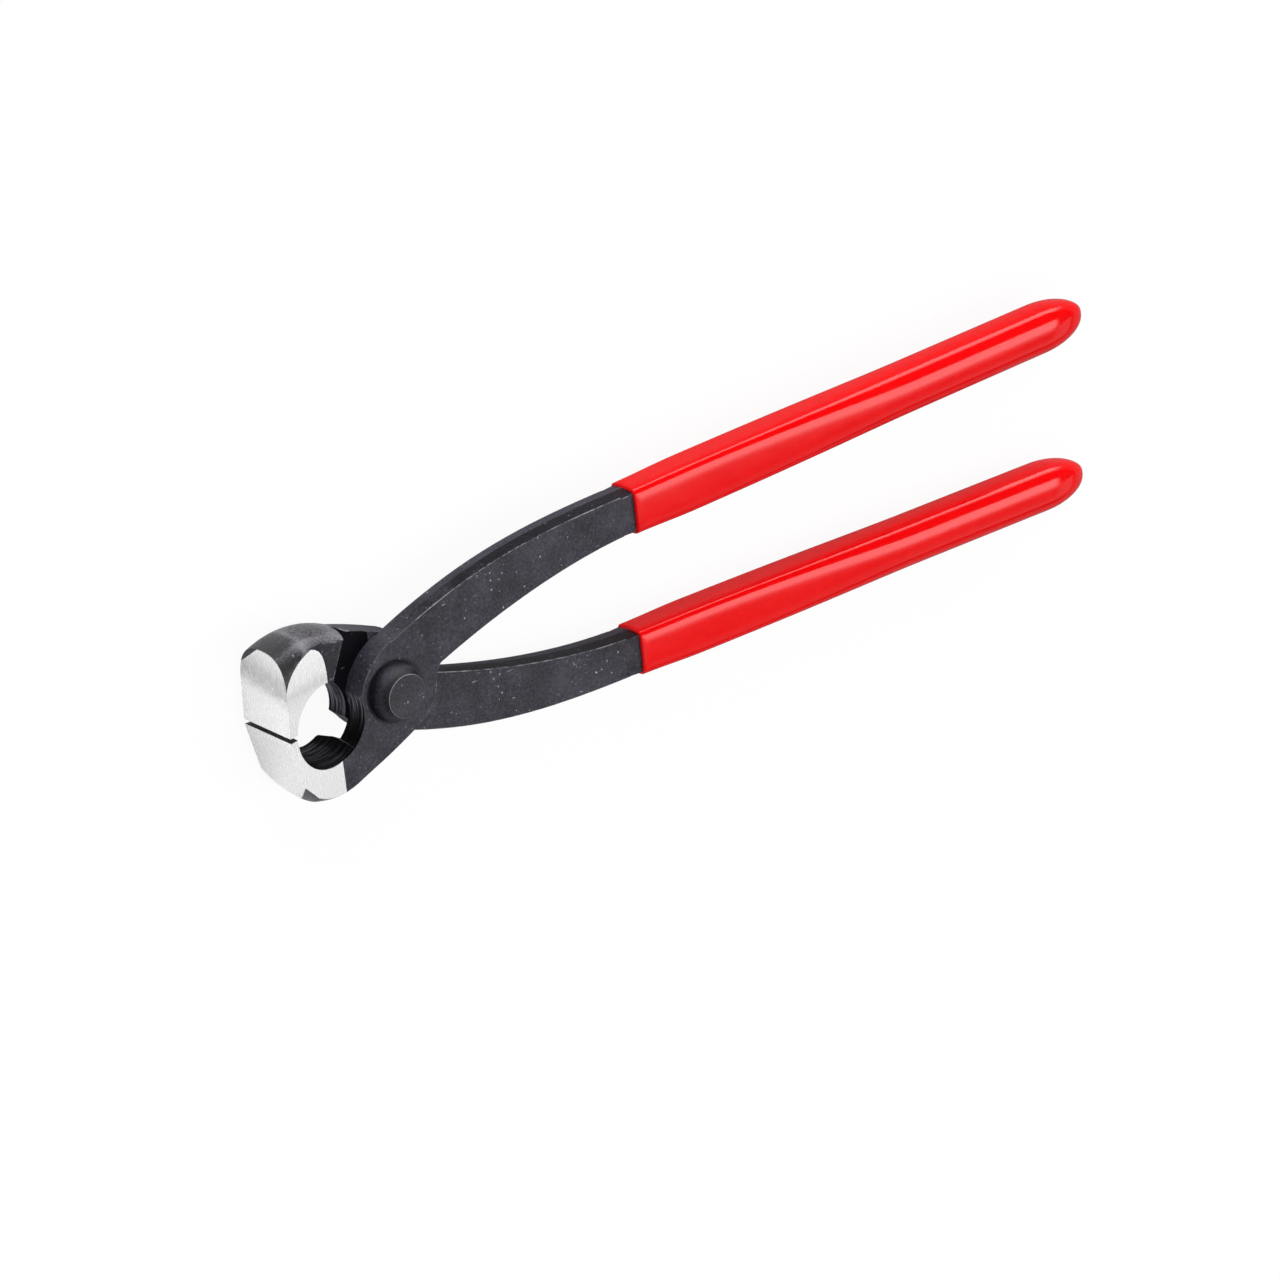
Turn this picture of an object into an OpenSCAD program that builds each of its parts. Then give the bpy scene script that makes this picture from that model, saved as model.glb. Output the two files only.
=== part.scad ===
// Ear clamp pliers: two forged halves lapped on one rivet, with dipped grips.
// X runs from the jaws to the grips, Y across the grips, Z along the rivet.
// The origin is the middle of the flat end of the lower rivet head.

/* [Overall] */
// Length from the jaw faces to the ends of the grips
tool_length = 219.5; // [200:0.5:240]
// Distance from the rivet to the jaw faces
jaw_reach = 27; // [26:0.25:29]

/* [Joint] */
// Thickness of each half at the lap joint
half_t = 5.4; // [4.8:0.1:6.2]
// Radius of the round boss on each half
boss_r = 10.4; // [9.8:0.1:11]
// Radius of the flatter curve on the jaw side of the boss
boss_flat_r = 14.3; // [13:0.1:16]
// How far that curve cuts into the boss of the upper arm's half
upper_flat_cut = 2.4; // [1:0.1:2.8]
// How far that curve cuts into the boss of the lower arm's half
lower_flat_cut = 1.3; // [1:0.1:2.8]
// Radius of the fillet between the boss and the arm
throat_r = 3; // [2:0.25:4]
// Radius of the rivet shank
rivet_r = 4; // [3:0.1:4.4]
// Radius of a rivet head where it sits on the forging
head_r = 6.2; // [5.5:0.1:6.6]
// Radius of the flat end of a rivet head
head_flat_r = 4.5; // [3.5:0.1:5]
// Height of a rivet head
head_h = 4.2; // [2.5:0.1:4.5]
// Gap between the two lapped faces
lap_gap = 0.1; // [0.06:0.02:0.2]
// Running clearance round the rivet in the turning half
run_gap = 0.05; // [0.03:0.01:0.08]
// Clearance round the rivet in the half that holds it
hold_gap = 0.02; // [0.01:0.01:0.03]

/* [Jaws] */
// Opening between the jaw faces at rest
jaw_gap = 1; // [0.6:0.1:1.6]
// Distance of the middle of that opening below the tool's axis
gap_drop = 0.35; // [0:0.05:0.5]
// Thickness of a jaw tip between its face and the side hole
tip_t = 1.8; // [1.2:0.1:2.2]
// Radius of the bored side hole
hole_r = 8.8; // [8:0.1:9]
// Distance of the side hole's centre below the tool's axis
hole_drop = 1.3; // [0:0.1:1.6]
// Outer radius of the upper jaw's forged crown
upper_crown_r = 20; // [19.4:0.1:20.6]
// Depth of the rounding at that crown's edges
upper_round = 7.7; // [7:0.1:8.4]
// Distance of that crown's centre behind the jaw face
upper_crown_back = 8.5; // [7.8:0.1:9.2]
// Distance of that crown's centre beyond the tool's axis
upper_crown_rise = -2.1; // [-2.6:0.1:-1.6]
// Outer radius of the lower jaw's forged crown
lower_crown_r = 16; // [15.6:0.1:16.6]
// Depth of the rounding at that crown's edges
lower_round = 4.9; // [4.4:0.1:5.6]
// Distance of that crown's centre behind the jaw face
lower_crown_back = 10.6; // [10:0.1:11.2]
// Distance of that crown's centre beyond the tool's axis
lower_crown_rise = 1.6; // [1:0.1:2.2]
// Half thickness of the crowns
crown_half_t = 7.7; // [7.4:0.05:8]
// Squareness of a crown's section, 2 for an ellipse
crown_square = 2.6; // [2:0.1:3.2]
// Lean of the ground front of the upper jaw
upper_front_lean = 3.4; // [0:0.2:8]
// Lean of the ground front of the lower jaw
lower_front_lean = 11.3; // [6:0.2:14]
// Length of the ground cheeks behind the jaw faces
cheek_len = 12.7; // [11.5:0.1:13.5]
// Angle at which the ground cheeks flare towards the faces
cheek_flare = 10.1; // [8:0.1:11.5]
// How far a cheek that reaches across the other half stands proud of it
cheek_step = 0.2; // [0.1:0.05:0.7]
// Length of the upper jaw's cheek across the other half, along the jaw face
upper_cheek_foot = 9.8; // [9:0.1:10.6]
// Slope of that cheek's back edge
upper_cheek_slope = 65; // [58:1:70]
// Length of the lower jaw's cheek across the other half, along the jaw face
lower_cheek_foot = 15.3; // [14:0.1:16]
// Slope of that cheek's back edge
lower_cheek_slope = 82; // [76:1:85]
// Draft of that cheek's back face
lower_cheek_draft = 13; // [4:1:14]
// Distance from the lower crown's centre to the rounded chamfer under it
chamfer_r = 14.4; // [13.6:0.1:15.4]
// Slope of that chamfer
chamfer_slope = 45; // [38:1:50]
// Radius of the rounding of that chamfer from cheek to cheek
chamfer_round = 17; // [14:0.5:22]
// Distance of the upper jaw's neck edge from the axis where it meets the jaw
upper_neck_out = 16; // [15.4:0.1:16.4]
// Distance of the lower jaw's neck edge from the axis where it meets the jaw
lower_neck_out = 16.6; // [16:0.1:17]

/* [Arms] */
// Distance from the rivet to the mouths of the grips
grip_start = 64; // [58:1:72]
// Distance of an arm's outer edge from the axis at the grip mouth
arm_out = 20.2; // [18:0.1:23]
// Width of an arm at the grip mouth
arm_w = 8.4; // [7.5:0.1:9.5]
// How far the line of an arm's inner edge passes beyond the rivet's centre
arm_root = 2.6; // [1.8:0.1:3.4]
// Thickness of an arm at the grip mouth
arm_t = 6.35; // [5.6:0.05:7.2]
// Distance of an arm's middle from the lap plane at the grip mouth
arm_mid_z = 1.45; // [1:0.05:2]
// Height of the parting ridge along the edges of an arm
ridge_h = 0.3; // [0.1:0.05:0.6]

/* [Grips] */
// Spread of a grip's middle line for each millimetre of its length
grip_spread = 0.0232; // [0.01:0.001:0.035]
// Thickness of the dipped coat at the mouth
mouth_coat = 0.9; // [0.7:0.05:1.2]
// Thickness of the dipped coat over the straight part of the tang
coat_t = 1.2; // [1:0.05:1.6]
// Distance from the mouth to the full thickness of the coat
coat_run = 16; // [10:1:24]
// Half width of a grip near its end
grip_end_w = 5.4; // [5.2:0.1:6.5]
// Half thickness of a grip near its end
grip_end_t = 5; // [4.8:0.1:6]
// Squareness of a grip's section near its mouth, 2 for an ellipse
mouth_square = 4.8; // [4:0.1:7]
// Squareness of a grip's section near its end
end_square = 2.5; // [2:0.1:3.5]
// Length of the part of a grip that has its end section
grip_end_run = 50; // [35:1:70]
// Length of the rounded end of a grip
grip_dome = 13; // [7:0.5:15]
// Thickness of the coat beyond the end of the tang
end_coat = 6; // [5:0.5:8]
// Clearance between the coat and the tang
coat_gap = 0.04; // [0.02:0.01:0.08]

/* [Hidden] */
$fn = 96;
steel = [0.2, 0.2, 0.22];
vinyl = [0.85, 0.05, 0.06];
// Reach of a cutting shape that only has to pass the whole head
clear = 60;
// Offset that keeps an arm's faces off the planes of the plate it grows from
nudge = 0.02;
lap_half = lap_gap / 2;
face_z = lap_half + half_t;
lap_z = head_h + lap_half + face_z;
head_bow = 0.35;
head_steps = 5;
boss_flat_deg = 27;
hole_x = jaw_reach - tip_t - hole_r;
crown_steps = 12;
cavity_lead = 1;
cheek_start = jaw_reach - cheek_len;
cheek_over = face_z + cheek_step;
neck_foot_deg = -70;
neck_bow = 0.4;
neck_steps = 8;
throat_search = 20;
throat_low_deg = -45;
throat_high_deg = 30;
slope_reach = 0.5;
arm_x0 = 0.5;
arm_flat = boss_r + throat_r;
arm_steps = 20;
arm_tuck = 0.5;
arm_out_power = 2.75;
arm_in_power = 1.8;
grip_end = tool_length - jaw_reach;
tang_end = grip_end - end_coat;
tang_taper = 0.75;
grip_full = grip_start + coat_run;
grip_round = grip_end - grip_end_run;
grip_steps = 22;
dome_steps = 7;
dome_end_deg = 84;
ring_steps = 28;

// Position from 0 to 1 between two places, straight and eased at both ends
function share(x, a, b) = min(1, max(0, (x - a) / (b - a)));
function ease(x, a, b) = let (t = share(x, a, b)) t * t * (3 - 2 * t);

// Straight blend between two values
function mix(a, b, t) = a + (b - a) * t;

// Signed power, which squares a round section
function bent(v, p) = sign(v) * pow(abs(v), p);

// Direction at an angle in the plane of the tool
function heading(deg) = [cos(deg), sin(deg)];

// Points of a shallow bow from p to q, swelling to the left of that way
function bow(p, q, sag, n) = let (d = q - p, u = [-d[1], d[0]] / norm(d))
    [for (i = [0:n]) p + d * i / n + u * 4 * sag * i / n * (1 - i / n)];

// Share of the way from the grip mouth back to the rivet
function back_share(x) = max(0, (grip_start - x) / grip_start);

// Middle line of a tang and its grip, and the half width of the tang
function mid_y(x) = arm_out - arm_w / 2 + grip_spread * (x - grip_start);
function tang_half(x) = arm_w / 2 * mix(1, tang_taper, share(x, grip_start, tang_end));

// Outer and inner edge of an arm, then of the tang inside the grip
function edge_out(x) = x > grip_start
    ? mid_y(x) + tang_half(x)
    : arm_out - (arm_out - boss_r + arm_tuck) * pow(back_share(x), arm_out_power);
function edge_in(x) = x > grip_start
    ? mid_y(x) - tang_half(x)
    : arm_out - arm_w - (arm_out - arm_w + arm_root) * pow(back_share(x), arm_in_power);

// Slope of an arm's inner edge
function slope_in(x) = atan((edge_in(x + slope_reach) - edge_in(x - slope_reach)) / (2 * slope_reach));

// Upper face, lower face and ridge of an arm, measured from the lap plane
function top_z(x) = mix(face_z - nudge, arm_mid_z + arm_t / 2, share(x, arm_flat, grip_start));
function low_z(x) = mix(lap_half + nudge, arm_mid_z - arm_t / 2, share(x, arm_flat, grip_start));
function ridge(x) = max(nudge, ridge_h * ease(x, arm_x0, arm_flat));

// Six-sided section of an arm with its parting ridge, grown by a clearance
function arm_ring(x, grow) = let (m = (top_z(x) + low_z(x)) / 2) [
    [x, edge_out(x) + grow, top_z(x) + grow],
    [x, edge_in(x) - grow, top_z(x) + grow],
    [x, edge_in(x) - ridge(x) - grow, m],
    [x, edge_in(x) - grow, low_z(x) - grow],
    [x, edge_out(x) + grow, low_z(x) - grow],
    [x, edge_out(x) + ridge(x) + grow, m]
];

// Angle at which a throat circle on the boss also touches the arm's inner edge
function throat_room(deg) = let (p = (boss_r + throat_r) * heading(deg))
    (edge_in(p[0]) - p[1]) * cos(slope_in(p[0])) - throat_r;
function throat_at(low, high, n) = let (mid = (low + high) / 2)
    n == 0 ? mid : throat_room(mid) > 0 ? throat_at(mid, high, n - 1) : throat_at(low, mid, n - 1);

// Dome factor, coat, half width, half thickness and squareness of a grip
function dome(x) = let (t = max(0, (x - grip_end + grip_dome) / grip_dome)) sqrt(max(0, 1 - t * t));
function coat(x) = mix(mouth_coat, coat_t, ease(x, grip_start, grip_full));
function grip_w(x) = mix(arm_w / 2 + coat(x), grip_end_w, ease(x, grip_full, grip_round));
function grip_t(x) = mix(arm_t / 2 + coat(x), grip_end_t, ease(x, grip_full, grip_round));
function squareness(x) = mix(mouth_square, end_square, ease(x, grip_full, grip_round));

// Softly squared section of a grip
function grip_ring(x) = let (w = grip_w(x) * dome(x), t = grip_t(x) * dome(x), p = 2 / squareness(x))
    [for (i = [0:ring_steps - 1])
        let (a = 360 * (i + 1 / 2) / ring_steps)
        [x, mid_y(x) + w * bent(cos(a), p), arm_mid_z + t * bent(sin(a), p)]];

// Solid through a list of closed sections
module loft(rings) {
    n = len(rings[0]);
    last = len(rings) - 1;
    polyhedron(
        points = [for (r = rings) each r],
        faces = concat(
            [[for (i = [0:n - 1]) i]],
            [for (k = [0:last - 1]) for (i = [0:n - 1])
                [k * n + i, (k + 1) * n + i, k * n + (i + 1) % n]],
            [for (k = [0:last - 1]) for (i = [0:n - 1])
                [k * n + (i + 1) % n, (k + 1) * n + i, (k + 1) * n + (i + 1) % n]],
            [[for (i = [n - 1:-1:0]) last * n + i]]
        )
    );
}

// Curved arm and the straight tang behind it
module arm() {
    xs = concat([for (i = [0:arm_steps]) mix(arm_x0, grip_start, i / arm_steps)], [tang_end]);
    loft([for (x = xs) arm_ring(x, 0)]);
}

// Boss, neck and throat of a half, seen along the rivet
module joint_outline(flat_cut, neck_out) {
    throat_deg = throat_at(throat_low_deg, throat_high_deg, throat_search);
    throat = (boss_r + throat_r) * heading(throat_deg);
    touch = throat + throat_r * heading(slope_in(throat[0]) + 90);
    intersection() {
        circle(boss_r);
        translate((boss_flat_r - boss_r + flat_cut) * heading(-boss_flat_deg)) circle(boss_flat_r);
    }
    polygon(concat(
        bow(boss_r * heading(neck_foot_deg), [-cheek_start, -neck_out], neck_bow, neck_steps),
        [[-hole_x, 0], [0, 0]]
    ));
    difference() {
        polygon([[0, 0], boss_r * heading(throat_deg), throat, touch, [boss_r, boss_r] / 2]);
        translate(throat) circle(throat_r);
    }
}

// Region behind the ground front and under the jaw face, seen along the rivet
module front_outline(tip, lean) {
    polygon([[0, 0], tip, tip + clear * heading(lean - 90), [0, -clear]]);
}

// Space in front of the drafted back face of the cheek that reaches across the other half
module cheek_room(foot, slope, draft) {
    translate([foot - jaw_reach, 0, 0]) rotate([0, 0, -slope]) rotate([-draft, 0, 0])
        translate([-clear, -2 * clear, -clear]) cube(2 * clear);
}

// Space above the rounded chamfer under a crown
module chamfer_room(cut_r) {
    rotate(-chamfer_slope) translate([0, chamfer_round - cut_r, 0]) {
        rotate([0, 90, 0]) cylinder(r = chamfer_round, h = 2 * clear, center = true);
        translate([-clear, 0, -clear]) cube(2 * clear);
    }
}

// Round blank of a crown with softly squared edges
module crown_blank(outer_r, depth) {
    edge = [for (i = [-crown_steps:crown_steps])
        let (a = 90 * i / crown_steps, p = 2 / crown_square)
        [outer_r - depth + depth * bent(cos(a), p), crown_half_t * bent(sin(a), p)]];
    rotate_extrude() polygon(concat([[0, -crown_half_t]], edge, [[0, crown_half_t]]));
}

// Jaw with its forged crown and ground facets, before the side hole
module jaw(crown, lean, tip_low, reach, cut_r) {
    tip = [-jaw_reach, -tip_low];
    crown_centre = [crown[0] - jaw_reach, -crown[1]];
    flare = tan(cheek_flare);
    intersection() {
        translate(crown_centre) crown_blank(crown[2], crown[3]);
        rotate([90, 0, 0]) linear_extrude(clear) polygon([
            [0, face_z],
            [-cheek_start, face_z],
            [-clear, face_z + (clear - cheek_start) * flare],
            [-clear, -face_z - (clear - cheek_start) * flare],
            [-cheek_start - cheek_step / flare, -cheek_over],
            [0, -cheek_over]
        ]);
        union() {
            translate([0, 0, lap_half]) linear_extrude(clear) front_outline(tip, lean);
            intersection() {
                linear_extrude(2 * clear, center = true) front_outline(tip, lean);
                cheek_room(reach[0], reach[1], reach[2]);
            }
        }
        translate(crown_centre) chamfer_room(cut_r);
    }
}

// One forged half with its rivet bore and its share of the side hole
module half(crown, lean, tip_low, reach, cut_r, flat_cut, neck_out, hole_y, bore_r) {
    difference() {
        union() {
            translate([0, 0, lap_half]) linear_extrude(half_t) joint_outline(flat_cut, neck_out);
            arm();
            jaw(crown, lean, tip_low, reach, cut_r);
        }
        cylinder(r = bore_r, h = clear, center = true);
        translate([-hole_x, hole_y, 0]) cylinder(r = hole_r, h = clear, center = true);
    }
}

// Upper arm with the lower jaw, on the side of the upper rivet head
module upper_arm_half() {
    color(steel) translate([0, 0, lap_z]) half(
        crown = [lower_crown_back, lower_crown_rise, lower_crown_r, lower_round],
        lean = lower_front_lean,
        tip_low = jaw_gap / 2 + gap_drop,
        reach = [lower_cheek_foot, lower_cheek_slope, lower_cheek_draft],
        cut_r = chamfer_r,
        flat_cut = upper_flat_cut,
        neck_out = lower_neck_out,
        hole_y = -hole_drop,
        bore_r = rivet_r + hold_gap
    );
}

// Lower arm with the upper jaw, turned over so that its lap face looks up
module lower_arm_half() {
    color(steel) translate([0, 0, lap_z]) rotate([180, 0, 0]) half(
        crown = [upper_crown_back, upper_crown_rise, upper_crown_r, upper_round],
        lean = upper_front_lean,
        tip_low = jaw_gap / 2 - gap_drop,
        reach = [upper_cheek_foot, upper_cheek_slope, 0],
        cut_r = clear,
        flat_cut = lower_flat_cut,
        neck_out = upper_neck_out,
        hole_y = hole_drop,
        bore_r = rivet_r + run_gap
    );
}

// Rivet with a formed head at each end
module rivet() {
    seat = lap_z + face_z;
    top = seat + head_h;
    color(steel) rotate_extrude() polygon(concat(
        [[0, 0]],
        bow([head_flat_r, 0], [head_r, head_h], -head_bow, head_steps),
        [[rivet_r, head_h], [rivet_r, seat]],
        bow([head_r, seat], [head_flat_r, top], -head_bow, head_steps),
        [[0, top]]
    ));
}

// Dipped coat over a tang, with its cavity
module grip() {
    dome_start = grip_end - grip_dome;
    xs = concat(
        [for (i = [0:grip_steps]) mix(grip_start, dome_start, i / grip_steps)],
        [for (i = [1:dome_steps]) dome_start + grip_dome * sin(dome_end_deg * i / dome_steps)]
    );
    difference() {
        loft([for (x = xs) grip_ring(x)]);
        loft([for (x = [grip_start - cavity_lead, grip_start, tang_end + coat_gap]) arm_ring(x, coat_gap)]);
    }
}

// Grip on the upper arm
module upper_grip() {
    color(vinyl) translate([0, 0, lap_z]) grip();
}

// Grip on the lower arm, turned over with it
module lower_grip() {
    color(vinyl) translate([0, 0, lap_z]) rotate([180, 0, 0]) grip();
}

upper_arm_half();
lower_arm_half();
rivet();
upper_grip();
lower_grip();
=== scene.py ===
"""Looks of the ear clamp pliers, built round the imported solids, in metres."""

import contextlib
import logging
import math
from collections.abc import Callable, Iterator
from dataclasses import dataclass, field
from enum import Enum
from typing import ClassVar

import bmesh
import bpy
from mathutils import Matrix, Vector


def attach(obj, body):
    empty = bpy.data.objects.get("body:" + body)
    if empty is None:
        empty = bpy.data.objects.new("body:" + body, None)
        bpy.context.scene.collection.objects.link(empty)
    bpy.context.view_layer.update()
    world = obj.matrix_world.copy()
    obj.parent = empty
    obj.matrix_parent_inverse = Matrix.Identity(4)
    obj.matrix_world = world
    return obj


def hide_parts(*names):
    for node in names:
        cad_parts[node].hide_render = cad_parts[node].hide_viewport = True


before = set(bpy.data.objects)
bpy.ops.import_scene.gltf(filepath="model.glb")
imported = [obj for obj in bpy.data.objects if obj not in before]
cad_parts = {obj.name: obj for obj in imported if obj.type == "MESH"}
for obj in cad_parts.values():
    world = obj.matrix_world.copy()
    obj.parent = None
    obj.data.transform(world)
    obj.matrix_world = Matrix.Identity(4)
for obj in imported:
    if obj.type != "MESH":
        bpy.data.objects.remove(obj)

MM = 0.001  # one millimetre in metres
PER_MM = 1000.0  # noise scale of a pattern 1 mm wide
LAP_Z = 9.7  # height of the lapped faces in millimetres
ALIGNED = 0.999  # cosine of a face that lies in a given plane
MOSTLY = 0.9  # cosine of a face that looks mostly one way
STEEP = 0.3  # cosine below which a face stands upright
FINE = 0.001 * MM  # distance within which points are one
LOG = logging.getLogger("pliers")
Colour = tuple[float, float, float, float]
Socket = bpy.types.NodeSocket
Span = tuple[float, float]
Triple = tuple[float, float, float]
Stops = tuple[Span, ...]


class Body(Enum):
    """Moving bodies of the tool."""

    UPPER = "upper_half"
    LOWER = "lower_half"


class Slot(Enum):
    """Material slots of the record."""

    FORGING = "forging"
    RIVET = "rivet_steel"
    VINYL = "vinyl"


class Surface(Enum):
    """Order of the materials on a forged half."""

    OXIDE = 0
    GROUND = 1
    BORED = 2
    # painted shade: near-black faces in the recess behind the jaws
    RECESS = 3
    CROWN = 4


class Bench:
    """Modelling helpers that work through Blender's own operators."""

    @staticmethod
    def only(obj: bpy.types.Object) -> None:
        """Selects one object and makes it the active one.

        Args:
            obj: The object.
        """
        bpy.ops.object.select_all(action="DESELECT")
        obj.select_set(True)
        bpy.context.view_layer.objects.active = obj

    @staticmethod
    @contextlib.contextmanager
    def editing(obj: bpy.types.Object, mode: str = "EDGE") -> Iterator[None]:
        """Opens a piece in edit mode with nothing selected.

        Args:
            obj: The piece to edit.
            mode: Select mode, VERT, EDGE or FACE.
        """
        Bench.only(obj)
        bpy.ops.object.mode_set(mode="EDIT")
        bpy.ops.mesh.select_mode(type=mode)
        bpy.ops.mesh.select_all(action="DESELECT")
        yield
        bpy.ops.object.mode_set(mode="OBJECT")

    @staticmethod
    def pick_edges(obj: bpy.types.Object, test: Callable[[bmesh.types.BMEdge], bool]) -> int:
        """Selects the edges of an open mesh that pass a test.

        Args:
            obj: The piece, in edit mode.
            test: Says whether an edge is wanted.

        Returns:
            The number of edges selected.
        """
        bpy.ops.mesh.select_all(action="DESELECT")
        mesh = bmesh.from_edit_mesh(obj.data)
        wanted = [e for e in mesh.edges if len(e.link_faces) == 2 and test(e)]
        for edge in wanted:
            edge.select = True
        mesh.select_flush_mode()
        bmesh.update_edit_mesh(obj.data)
        return len(wanted)

    @staticmethod
    def apply(obj: bpy.types.Object, kind: str, **settings: object) -> None:
        """Adds one modifier to a piece and applies it.

        Args:
            obj: The piece.
            kind: The modifier's type.
            settings: Values for the modifier's own properties.
        """
        Bench.only(obj)
        modifier = obj.modifiers.new(kind.lower(), kind)
        for name, value in settings.items():
            setattr(modifier, name, value)
        bpy.ops.object.modifier_apply(modifier=modifier.name)

    @staticmethod
    def copy_node(node: str, name: str) -> bpy.types.Object:
        """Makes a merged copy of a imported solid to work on.

        Args:
            node: Name of the solid.
            name: Name of the new piece.

        Returns:
            The new piece.
        """
        piece = bpy.data.objects.new(name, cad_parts[node].data.copy())
        bpy.context.scene.collection.objects.link(piece)
        piece.data.materials.clear()
        Bench.only(piece)
        bpy.ops.mesh.customdata_custom_splitnormals_clear()
        with Bench.editing(piece, "VERT"):
            bpy.ops.mesh.select_all(action="SELECT")
            bpy.ops.mesh.remove_doubles(threshold=0.0005 * MM)
        return piece

    @staticmethod
    def loft(name: str, rings: list[list[Vector]]) -> bpy.types.Object:
        """Draws a skin through closed rings by extruding a circle from ring to ring.

        Args:
            name: Name of the new piece.
            rings: Rings of equally many points, in metres.

        Returns:
            The new piece, closed at both ends.
        """
        bpy.ops.object.select_all(action="DESELECT")
        bpy.ops.mesh.primitive_circle_add(vertices=len(rings[0]), radius=5 * MM)
        piece = bpy.context.object
        piece.name = name
        piece.data.name = name
        with Bench.editing(piece, "EDGE"):
            bpy.ops.mesh.select_all(action="SELECT")
            mesh = bmesh.from_edit_mesh(piece.data)
            place = mesh.verts.layers.int.new("place")
            for i, vertex in enumerate(mesh.verts):
                vertex[place] = i
                vertex.co = rings[0][i]
            bmesh.update_edit_mesh(piece.data)
            for ring in rings[1:]:
                bpy.ops.mesh.extrude_region_move()
                mesh = bmesh.from_edit_mesh(piece.data)
                place = mesh.verts.layers.int["place"]
                for vertex in mesh.verts:
                    if vertex.select:
                        vertex.co = ring[vertex[place]]
                bmesh.update_edit_mesh(piece.data)
            bpy.ops.mesh.select_all(action="DESELECT")
            bpy.ops.mesh.select_non_manifold()
            bpy.ops.mesh.fill_holes(sides=0)
            bpy.ops.mesh.select_all(action="SELECT")
            bpy.ops.mesh.normals_make_consistent(inside=False)
        return piece

    @staticmethod
    def smooth(obj: bpy.types.Object, degrees: float) -> None:
        """Smooths the shading of a piece up to an edge angle."""
        Bench.only(obj)
        bpy.ops.object.shade_smooth_by_angle(angle=math.radians(degrees))


class Wiring:
    """A node tree that is wired by name."""

    def __init__(self, tree: bpy.types.NodeTree) -> None:
        """Keeps the tree to work on."""
        self.tree = tree

    def feed(self, socket: Socket, value: object) -> None:
        """Links a socket to another, or sets its plain value.

        Args:
            socket: The input.
            value: A socket to link, or a plain value.
        """
        if isinstance(value, bpy.types.NodeSocket):
            self.tree.links.new(value, socket)
        else:
            socket.default_value = value

    def add(self, kind: str, inputs: dict | None = None, **settings: object) -> bpy.types.Node:
        """Adds one node.

        Args:
            kind: The node's type without its prefix.
            inputs: Inputs by name or number, each a socket to link or a plain value.
            settings: Values for the node's own properties.

        Returns:
            The new node.
        """
        node = self.tree.nodes.new("ShaderNode" + kind)
        for name, value in settings.items():
            setattr(node, name, value)
        for name, value in (inputs or {}).items():
            self.feed(node.inputs[name], value)
        return node

    def math(self, operation: str, a: object, b: object = 0.0) -> Socket:
        """Adds a Math node and returns its result."""
        return self.add("Math", {0: a, 1: b}, operation=operation).outputs[0]

    def ramp(self, value: Socket, low: float, high: float) -> Socket:
        """Maps a span of a value to 0 and 1, eased at both ends.

        Args:
            value: The value to map.
            low: Value that gives 0.
            high: Value that gives 1.

        Returns:
            The mapped value.
        """
        return self.add(
            "MapRange",
            {"Value": value, "From Min": low, "From Max": high},
            interpolation_type="SMOOTHSTEP",
        ).outputs["Result"]

    def stops(self, value: Socket, pairs: Stops) -> Socket:
        """Maps a value through a row of stops.

        Args:
            value: The value to map.
            pairs: Places in rising order, each with its grey level.

        Returns:
            The grey level.
        """
        low, high = pairs[0][0], pairs[-1][0]
        span = {"Value": value, "From Min": low, "From Max": high}
        node = self.add("ValToRGB", {"Fac": self.add("MapRange", span).outputs["Result"]})
        elements = node.color_ramp.elements
        for element, (_, level) in zip(elements[:2], (pairs[0], pairs[-1])):
            element.color = (level, level, level, 1.0)
        for place, level in pairs[1:-1]:
            elements.new((place - low) / (high - low)).color = (level, level, level, 1.0)
        return node.outputs["Color"]

    def between(self, value: Socket, low: object, high: object) -> Socket:
        """Maps a mask from 0 and 1 to a span of a value."""
        inputs = {"Value": value, "To Min": low, "To Max": high}
        return self.add("MapRange", inputs).outputs["Result"]

    def noise(self, where: Socket, scale: object, detail: float = 3.0, rough: float = 0.55) -> Socket:
        """Adds a Noise Texture and returns its value."""
        inputs = {"Vector": where, "Scale": scale, "Detail": detail, "Roughness": rough}
        return self.add("TexNoise", inputs).outputs["Fac"]

    def stretch(self, where: Socket, scale: Triple) -> Socket:
        """Scales a position by axis and returns it."""
        return self.add("Mapping", {"Vector": where, "Scale": scale}).outputs["Vector"]

    def local(self, where: Socket) -> tuple[Socket, Socket, Socket]:
        """Splits a position into millimetres from the rivet's middle.

        Args:
            where: The object position in metres.

        Returns:
            The places along x, y and z.
        """
        parts = self.add("SeparateXYZ", {0: where}).outputs
        x, y, z = (self.math("DIVIDE", part, MM) for part in parts)
        return x, y, self.math("SUBTRACT", z, LAP_Z)

    def blend(self, share: object, a: object, b: object) -> Socket:
        """Blends two colours and returns the result.

        Args:
            share: Share of the second colour.
            a: The first colour.
            b: The second colour.

        Returns:
            The blended colour.
        """
        node = self.add("Mix", data_type="RGBA")
        self.feed(node.inputs[0], share)
        self.feed(node.inputs[6], a)
        self.feed(node.inputs[7], b)
        return node.outputs[2]

    def bump(self, height: Socket, depth_mm: float, strength: float) -> Socket:
        """Adds a Bump node and returns its normal.

        Args:
            height: Height from 0 to 1.
            depth_mm: Depth of the full height in millimetres.
            strength: Share of the effect.

        Returns:
            The bent normal.
        """
        inputs = {"Height": height, "Distance": depth_mm * MM, "Strength": strength}
        return self.add("Bump", inputs).outputs["Normal"]

    def place(self, group: bpy.types.NodeTree, where: Socket, **values: float) -> bpy.types.Node:
        """Places a shader group.

        Args:
            group: The group.
            where: Position that its pattern follows.
            values: Values for its number inputs.

        Returns:
            The group node.
        """
        node = self.add("Group", node_tree=group)
        self.feed(node.inputs["Position"], where)
        for name, value in values.items():
            node.inputs[name].default_value = value
        return node


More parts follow.
